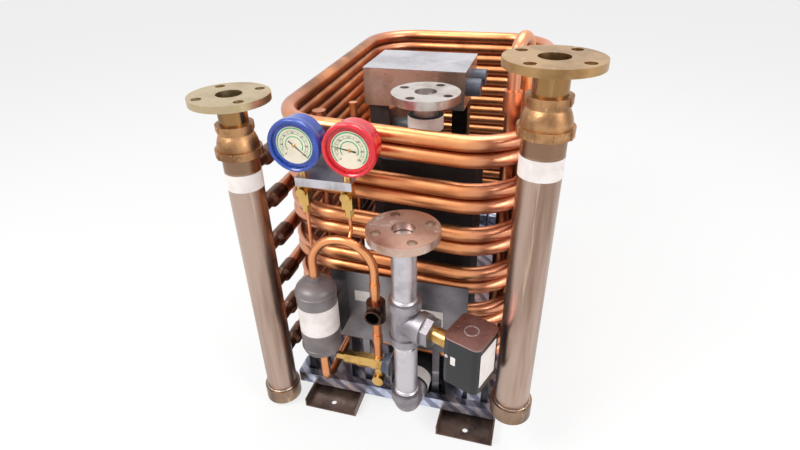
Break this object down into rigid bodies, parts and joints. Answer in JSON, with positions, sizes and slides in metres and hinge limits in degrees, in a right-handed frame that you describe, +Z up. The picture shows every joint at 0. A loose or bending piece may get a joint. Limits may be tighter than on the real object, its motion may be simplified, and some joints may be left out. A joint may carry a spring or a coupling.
{
  "type": "water-cooled chiller",
  "caption": "Compact water-cooled chiller: stacked copper coil between two upright flanged manifolds, with chilled water pipes, gauges, drier and junction box on a low steel tray.",
  "frame": {"origin": "on the floor, at the centre of the four floor bolt holes", "axes": "+Z up; -Y towards the front, where the gauges and the supply pipe are; +X towards the water-out manifold; rest pose only, nothing moves"},
  "size_m": [0.6008, 0.9571, 0.741],
  "materials": {
    "tray_steel": "satin",
    "foot_steel": "satin",
    "coil_copper": "satin",
    "dark_copper": "satin",
    "manifold_tube": "satin",
    "bronze": "cast",
    "brass": "satin",
    "stainless": "satin",
    "cast_stainless": "matte",
    "black_foam": "matte",
    "black_paint": "satin",
    "grey_paint": "satin",
    "dark_steel": "satin",
    "blue_enamel": "gloss",
    "red_enamel": "gloss",
    "dial_white": "matte",
    "clear_glass": "gloss",
    "box_steel": "satin",
    "box_lid": "satin",
    "grey_plastic": "satin"
  },
  "bodies": {
    "root": {"base_tray": "tray_steel", "box_posts": "dark_steel", "bulkhead_fitting": "grey_plastic", "capped_risers": "coil_copper", "coil_circuit_1": "coil_copper", "coil_circuit_2": "coil_copper", "coil_circuit_3": "coil_copper", "coil_circuit_4": "coil_copper", "coil_circuit_5": "coil_copper", "coil_circuit_6": "coil_copper", "coil_saddles": "dark_steel", "compressor": "black_paint", "conduit_fittings": "grey_plastic", "drier_bracket": "dark_steel", "drier_inlet_line": "coil_copper", "drier_shell": "grey_paint", "evaporator": "black_foam", "flow_switch_body": "black_paint", "flow_switch_cover": "box_lid", "flow_switch_fitting": "brass", "foot_channel_left": "foot_steel", "foot_channel_right": "foot_steel", "front_plate": "cast_stainless", "gauge_bracket": "stainless", "gauge_capillaries": "coil_copper", "gauge_dials": "dial_white", "gauge_glasses": "clear_glass", "gauge_valves": "brass", "high_gauge_case": "red_enamel", "inlet_connectors": "dark_copper", "junction_box": "box_steel", "junction_box_lid": "box_lid", "liquid_line": "coil_copper", "low_gauge_case": "blue_enamel", "outlet_connectors": "dark_copper", "refrigerant_risers": "coil_copper", "return_flange": "stainless", "return_pipe": "stainless", "return_sleeve": "black_foam", "service_valve": "brass", "sight_glass": "dark_copper", "sight_lens": "clear_glass", "supply_elbow": "cast_stainless", "supply_flange": "stainless", "supply_lower_pipe": "stainless", "supply_pipe": "stainless", "supply_tail": "black_foam", "supply_tee": "cast_stainless", "tee_bushing": "cast_stainless", "water_in_cap": "bronze", "water_in_flange": "bronze", "water_in_manifold": "manifold_tube", "water_in_nipple": "brass", "water_in_reducer": "bronze", "water_out_cap": "bronze", "water_out_flange": "bronze", "water_out_manifold": "manifold_tube", "water_out_nipple": "brass", "water_out_reducer": "bronze"}
  },
  "joints": []
}
